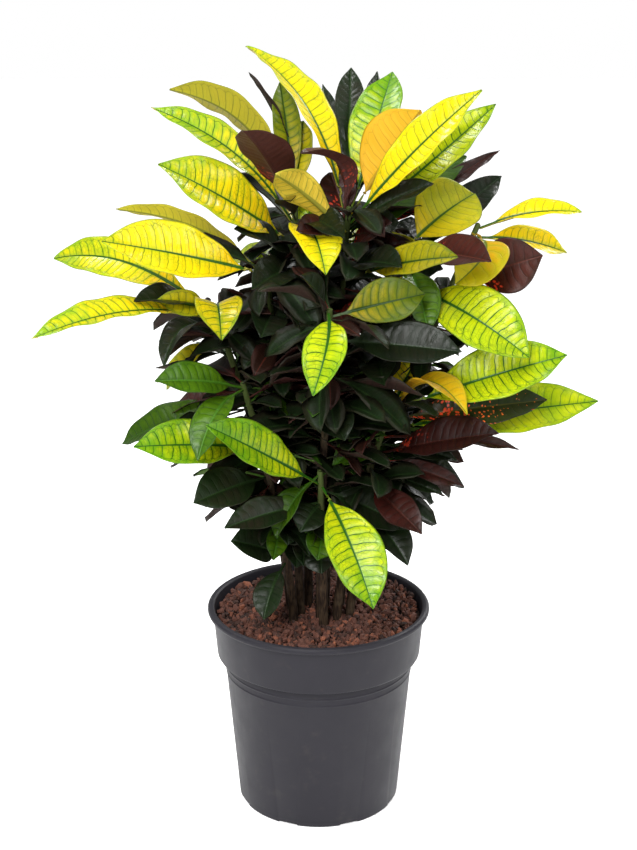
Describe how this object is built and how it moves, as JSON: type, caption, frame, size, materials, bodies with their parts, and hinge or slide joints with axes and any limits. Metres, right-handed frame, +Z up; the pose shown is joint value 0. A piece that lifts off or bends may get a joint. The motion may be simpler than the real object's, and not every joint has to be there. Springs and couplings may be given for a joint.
{
  "type": "potted croton",
  "caption": "Potted croton: a leafy house plant with long variegated leaves on woody canes, rooted in bark in a round tapered nursery pot.",
  "frame": {"origin": "centre of the pot's underside, on the ground", "axes": "+Z up, +X to the right and +Y to the back of the plant as seen from its front"},
  "size_m": [0.6404, 0.3927, 0.9053],
  "materials": {
    "pot_plastic": "matte injection-moulded plastic, dark warm grey",
    "bark_soil": "loose red-brown bark crumbs",
    "cane_bark": "rough tan-brown bark with leaf scars",
    "yellow_leaf": "waxy leaf, bright yellow with a green midrib and green tip",
    "dark_leaf": "waxy leaf, green-black",
    "lime_leaf": "waxy leaf, yellow-green with dark green midrib and veins",
    "amber_leaf": "waxy leaf, amber to orange-yellow",
    "maroon_leaf": "satin leaf, dark maroon",
    "olive_leaf": "satin leaf underside, olive",
    "green_leaf": "waxy leaf, mid green",
    "spotted_leaf": "waxy leaf, green-black with orange spots"
  },
  "bodies": {
    "root": {"pot": "pot_plastic", "bark_soil": "bark_soil", "crown_cane": "cane_bark", "crown_leaf_1": "yellow_leaf", "crown_leaf_2": "dark_leaf", "crown_leaf_3": "lime_leaf", "crown_leaf_4": "amber_leaf", "crown_leaf_5": "yellow_leaf", "crown_leaf_6": "lime_leaf", "crown_leaf_7": "maroon_leaf", "crown_leaf_8": "olive_leaf", "left_crown_cane": "cane_bark", "left_crown_leaf_1": "olive_leaf", "left_crown_leaf_2": "olive_leaf", "left_crown_leaf_3": "yellow_leaf", "left_crown_leaf_4": "maroon_leaf", "left_crown_leaf_5": "yellow_leaf", "left_crown_leaf_6": "yellow_leaf", "left_crown_leaf_7": "dark_leaf", "left_cane": "cane_bark", "left_leaf_1": "olive_leaf", "left_leaf_2": "yellow_leaf", "far_left_cane": "cane_bark", "far_left_leaf_1": "yellow_leaf", "far_left_leaf_2": "yellow_leaf", "far_left_leaf_3": "yellow_leaf", "far_left_leaf_4": "dark_leaf", "right_crown_cane": "cane_bark", "right_crown_leaf_1": "green_leaf", "right_crown_leaf_2": "lime_leaf", "right_crown_leaf_3": "olive_leaf", "right_crown_leaf_4": "maroon_leaf", "right_crown_leaf_5": "olive_leaf", "far_right_cane": "cane_bark", "far_right_leaf_1": "yellow_leaf", "far_right_leaf_2": "yellow_leaf", "far_right_leaf_3": "maroon_leaf", "far_right_leaf_4": "amber_leaf", "right_cane": "cane_bark", "right_leaf_1": "lime_leaf", "right_leaf_2": "spotted_leaf", "right_leaf_3": "lime_leaf", "right_leaf_4": "amber_leaf", "right_leaf_5": "maroon_leaf", "front_cane": "cane_bark", "front_leaf_1": "lime_leaf", "front_leaf_2": "olive_leaf", "front_leaf_3": "dark_leaf", "low_left_cane": "cane_bark", "low_left_leaf_1": "green_leaf", "low_left_leaf_2": "maroon_leaf", "low_left_leaf_3": "lime_leaf", "low_left_leaf_4": "green_leaf", "low_left_leaf_5": "dark_leaf", "low_left_leaf_6": "dark_leaf", "low_left_leaf_7": "dark_leaf", "low_front_cane": "cane_bark", "low_front_leaf_1": "lime_leaf", "low_front_leaf_2": "dark_leaf", "low_front_leaf_3": "lime_leaf"}
  },
  "joints": []
}
